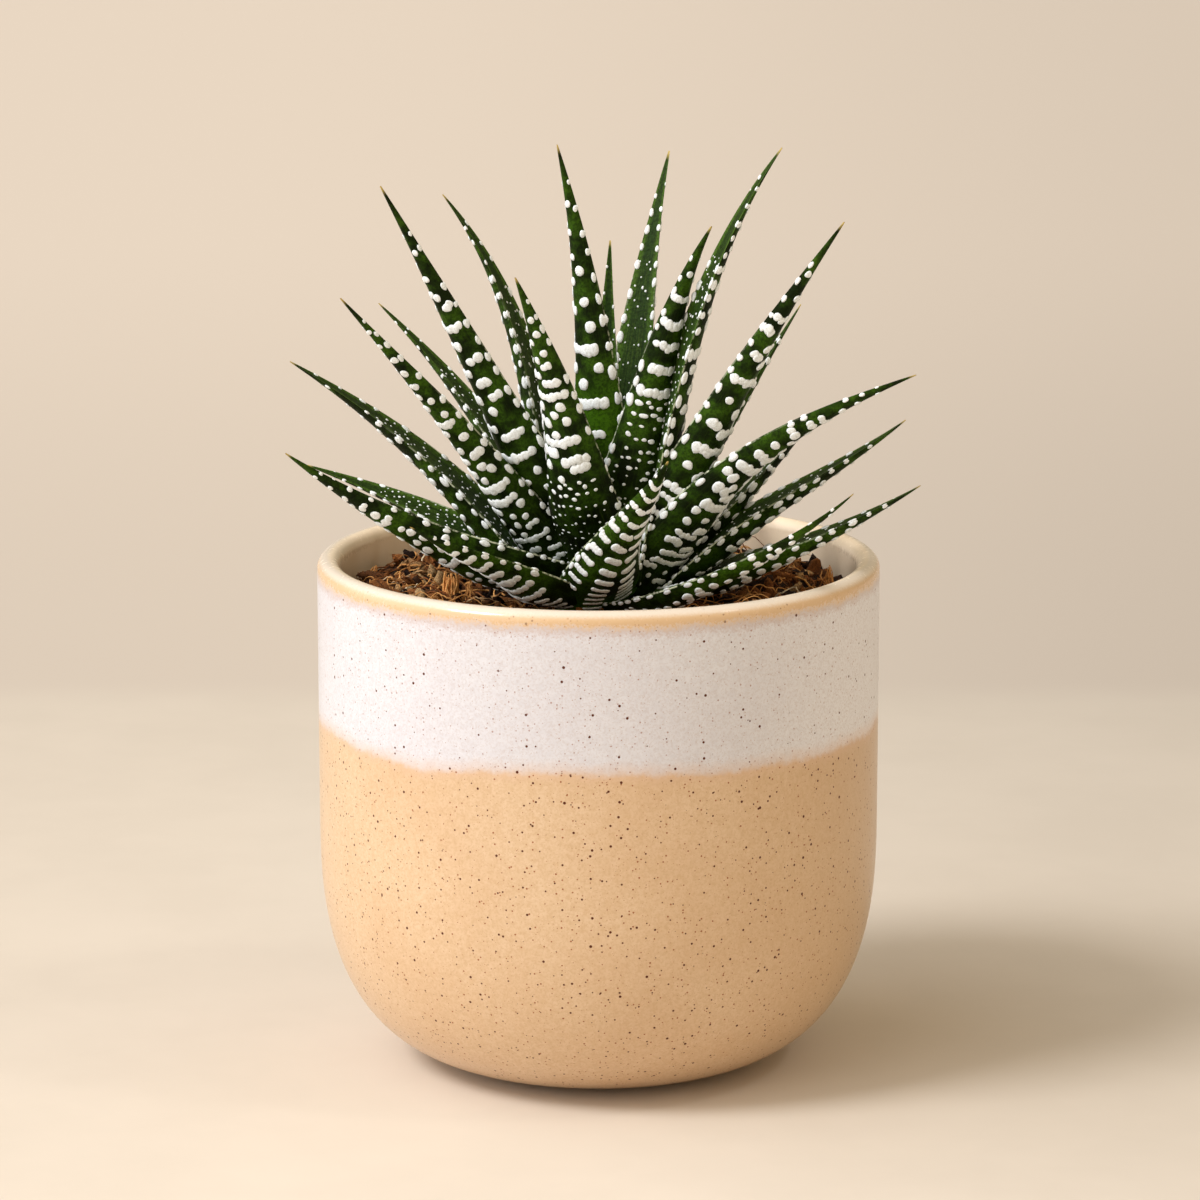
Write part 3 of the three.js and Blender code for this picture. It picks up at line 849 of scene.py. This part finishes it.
# The warts: their sizes are in millimetres, their places along the blade are shares of its length,
# and those across it run from -1 to 1.
WART_RADIUS = 1.0
WART_HEIGHT = 0.3  # against the radius
WART_UNEVEN = 0.34  # how far the outline of a wart wanders, against its radius
WART_GRAIN = 0.8
WART_FLATNESS = 0.6  # of its top, where a round one has 1
USUAL_WIDTH = 9  # of a blade, below which its warts are smaller
OPEN_SHARE = 0.45  # the share of the length over which they grow to full size and distance
ROWS_FROM, ROWS_TO = 0.03, 0.9
PITCH = 4.0
BAR_SAG = 0.5  # how much nearer the foot than its ends the middle of a bar is, in millimetres
BAR_UNEVEN = 0.22
BAR_SPLIT = 0.2
CHEVRON_ROUGHNESS = 0.15  # how uneven its rows are, against the others
CHEVRON_SPANS = [(-0.93, -0.76), (-0.42, -0.06), (0.3, 0.66)]
ONE_BELOW, TWO_BELOW = 4, 7  # the widths below which a loose row has one or two warts, and else three
SINGLE_BELOW = 3.4
ROW_HALF = 0.82
DASH_HALF = 0.88
EDGE_WART_RADIUS = 0.64
EDGE_WART_HEIGHT = 0.5
EDGE_TO = 0.92
DOT_RADIUS = 0.1, 0.22
DOT_HEIGHT = 0.7
DOT_LINES = -0.75, -0.45, -0.15, 0.15, 0.45, 0.75
DOTS_FROM, DOTS_TO = 0.05, 0.72

bm = bmesh.new()
bmesh.ops.create_uvsphere(bm, u_segments=12, v_segments=6, radius=1)
for vert in bm.verts:
    vert.co.z = math.copysign(abs(vert.co.z) ** WART_FLATNESS, vert.co.z)
for face in bm.faces:
    face.material_index = 1
pearl = pattern(bm, "pearl")


class Warts:
    """The white warts of one leaf. Their places are drawn by chance, its number being the seed."""

    def __init__(self, number, leaf, blade):
        self.bm = bmesh.new()
        self.leaf = leaf
        self.blade = blade
        self.chance = random.Random(100 + number)
        self.size = leaf.get("size", 1)
        self.fine = leaf.get("fine", 0)
        self.sag = leaf.get("chevron", BAR_SAG)
        self.rough = CHEVRON_ROUGHNESS if "chevron" in leaf else 1

    def one(self, place, a, outer, wide, long, high=WART_HEIGHT):
        """One wart, half sunk in the skin: so far from the foot, wide across and long along."""
        seat, over, along, normal = self.blade.seat(place / self.blade.length, a, outer)
        spot = Matrix((over * wide, along * long, normal * high * min(wide, long))).transposed().to_4x4()
        spot.translation = seat
        for vert in add(self.bm, pearl):
            vert.co = spot @ vert.co
            drift = noise.noise_vector(vert.co * WART_GRAIN) * wide * WART_UNEVEN
            vert.co += drift - normal * drift.dot(normal)

    def bar(self, place, span, radius):
        """Warts run together in a bar across the back, or a single one where the span is nothing."""
        chance = self.chance
        low, high = span
        half = self.blade.width_at(place / self.blade.length) / 2
        steps = round((high - low) * half / (radius * (0.5 + 0.6 * self.rough)))
        for i in range(steps + 1):
            a = low + (high - low) * i / max(1, steps)
            drop = self.sag * (abs(a) - 0.4) + chance.uniform(-BAR_UNEVEN, BAR_UNEVEN) * self.rough
            r = radius * (1 + chance.uniform(-0.14, 0.14) * self.rough)
            self.one(place + drop, a, True, r, r * chance.uniform(0.92, 1.15))

    def spans(self, width):
        """Where the bars and single warts of one row stand across the back."""
        chance = self.chance
        if "chevron" in self.leaf:
            return CHEVRON_SPANS
        if width < SINGLE_BELOW:
            middle = chance.uniform(-0.45, 0.45)
            return [(middle, middle)]
        if chance.random() < self.leaf["bars"]:
            low = chance.uniform(-0.78, -0.5)
            high = chance.uniform(0.5, 0.78)
            if chance.random() < 0.65:
                return [(low, high)]
            cut = chance.uniform(-0.25, 0.25)
            return [(low, cut - BAR_SPLIT), (cut + BAR_SPLIT, high)]
        count = 1 if width < ONE_BELOW else 2 if width < TWO_BELOW else 3
        spans = []
        for i in range(count):
            middle = -ROW_HALF + 2 * ROW_HALF * (i + 0.5 + chance.uniform(-0.2, 0.2)) / count
            half = 0.15 if chance.random() < self.leaf["bars"] else 0
            spans.append((middle - half, middle + half))
        return spans

    def row(self, place, width, radius, step):
        """One row of bars and single warts, staggered unless all of the leaf's rows run together."""
        spans = self.spans(width)
        step *= self.chance.uniform(0.9, 1.1)
        apart = 0 if self.leaf["bars"] == 1 else 0.25 * step
        for i, span in enumerate(spans):
            stagger = 0
            if len(spans) > 1:
                stagger = apart * ((-1) ** i + self.chance.uniform(-0.5, 0.5))
            self.bar(place + stagger, span, radius)
        return step

    def dashes(self, place, width, radius):
        """One row of small dashes and dots, bigger and further apart away from the foot."""
        chance = self.chance
        t = place / self.blade.length
        count = int(width * 0.75)
        for i in range(count):
            a = -DASH_HALF + 2 * DASH_HALF * (i + chance.uniform(0.2, 0.8)) / count
            if chance.random() < 0.85:
                long = radius * (0.22 + 0.18 * t / self.fine) * chance.uniform(0.6, 1.4)
                spot = place + self.sag * (abs(a) - 0.4) + chance.uniform(-0.5, 0.5)
                self.one(spot, a, True, long * chance.uniform(0.9, 1.9), long)
        return 1.2 + 1.1 * t / self.fine

    def back(self):
        """Rows across the back, smaller and closer together towards the foot."""
        length = self.blade.length
        place = length * self.leaf.get("bare", ROWS_FROM)
        while place < length * ROWS_TO:
            t = place / length
            width = self.blade.width_at(t)
            grown = smooth(t, 0, OPEN_SHARE)
            radius = WART_RADIUS * self.size * min(1, (width / USUAL_WIDTH) ** 0.35) * (0.5 + 0.5 * grown)
            if t < self.fine:
                place += self.dashes(place, width, radius)
            else:
                step = self.leaf.get("pitch", PITCH) * (0.52 + 0.48 * grown)
                place += self.row(place, width, radius, step)

    def margins(self):
        """Long warts along both margins, closer together towards the foot."""
        chance = self.chance
        length = self.blade.length
        for edge in (-1, 1):
            place = length * ROWS_FROM + chance.uniform(0, 2)
            while place < length * EDGE_TO:
                t = place / length
                width = self.blade.width_at(t)
                grown = smooth(t, 0, OPEN_SHARE)
                r = EDGE_WART_RADIUS * self.size * min(1, (width / USUAL_WIDTH) ** 0.4)
                r *= (0.6 + 0.4 * grown) * chance.uniform(0.8, 1.15)
                long = r * chance.uniform(1.4, 2.1)
                half = width / 2
                for outer, share, inset in ((True, 0.9, 0.35), (False, 0.7, 0.6)):
                    if chance.random() < share:
                        a = edge * (1 - inset * r / half)
                        self.one(place, a, outer, r, long, EDGE_WART_HEIGHT)
                place += PITCH * (0.4 + 0.5 * grown) * chance.uniform(0.7, 1.35)

    def face(self):
        """Scattered dots on the face, in loose lines along it, fewer towards the tip."""
        chance = self.chance
        length = self.blade.length
        sparse = 1 / self.leaf.get("dots", 1)
        for line in DOT_LINES:
            place = length * DOTS_FROM + chance.uniform(0, 2)
            while place < length * DOTS_TO:
                t = place / length
                r = chance.uniform(*DOT_RADIUS)
                a = line + chance.uniform(-0.14, 0.14)
                self.one(place, a, False, r, r * chance.uniform(1, 1.6), DOT_HEIGHT)
                place += (chance.uniform(1.2, 4) + 5 * t) * sparse


flesh = Finish("haworthia_skin", Specular_IOR_Level=0.07)
around, along, _ = flesh.axes(flesh.node("ShaderNodeUVMap", {"uv_map": "UVMap"}))
spot = flesh.place()
lengthwise = flesh.node("ShaderNodeCombineXYZ", None, {0: around * 60, 1: along * 5, 2: 0})
streaks = flesh.noise(lengthwise, 1 / 1.4, 3)
mottle = flesh.noise(spot, 0.55, 3, 0.7)
pebbles = flesh.noise(spot, 0.3, 2, 0.6)
patch = flesh.noise(spot, 5, 3, 0.6).step(0.38, 0.66)
# painted shade: the back is a darker green towards the foot, where the leaves shade one another
lit = along.step(0.08, 0.5)
shaded_green = flesh.mix(lit, tone(8, 15, 1), tone(17, 30, 3))
fresh_green = flesh.mix(lit, tone(32, 52, 4), tone(56, 88, 14))
back_green = flesh.mix(patch, shaded_green, fresh_green)
back_green = flesh.mix(streaks.step(0.5, 0.75) * 0.2, back_green, tone(70, 94, 14))
channel = abs(around - (1 + OUTER_SHARE) / 2).step(0.11, 0.05)
face_green = flesh.mix(channel, tone(66, 96, 28), tone(34, 56, 16))
face_green = flesh.mix(streaks.step(0.4, 0.75) * 0.35, face_green, tone(88, 112, 40))
on_face = around.step(OUTER_SHARE - 0.004, OUTER_SHARE + 0.004)
rim = flesh.attribute("rim").step(0.36, 0.2) * flesh.noise(spot, 1, 2).step(0.4, 0.6)
green = flesh.coats(
    flesh.mix(on_face, back_green, face_green),
    (flesh.attribute("glow") * 0.65, tone(72, 118, 12)),
    (mottle.step(0.42, 0.62) * 0.5, tone(10, 16, 1)),
    (rim * along.step(0.75, 0.35) * 0.85, tone(214, 220, 190)),
    (along.step(0.975, 1), tone(196, 172, 104)),
)
flesh.set(Base_Color=green, Roughness=0.4 + streaks * 0.2)
flesh.bump(streaks * 0.3 + mottle + pebbles, 0.16, 0.7)

chalk = Finish("white_warts", roughness=0.62, Specular_IOR_Level=0.35)
pits = chalk.noise(chalk.place(), 0.35, 3, 0.7)
chalk.set(Base_Color=chalk.mix(pits.step(0.3, 0.62), tone(220, 224, 224), tone(247, 252, 255)))
chalk.bump(pits, 0.12, 0.6)

for number, leaf in enumerate(LEAVES, 1):
    blade = Blade(leaf)
    warts = Warts(number, leaf, blade)
    warts.back()
    warts.margins()
    warts.face()
    bm = blade.mesh(leaf.get("glow"))
    bm.from_mesh(pattern(warts.bm, f"warts_{number:02d}"))
    made = piece(bm, f"haworthia_leaf_{number:02d}", flesh, chalk)
    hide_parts(f"leaf_{number:02d}")
    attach(made, "root")
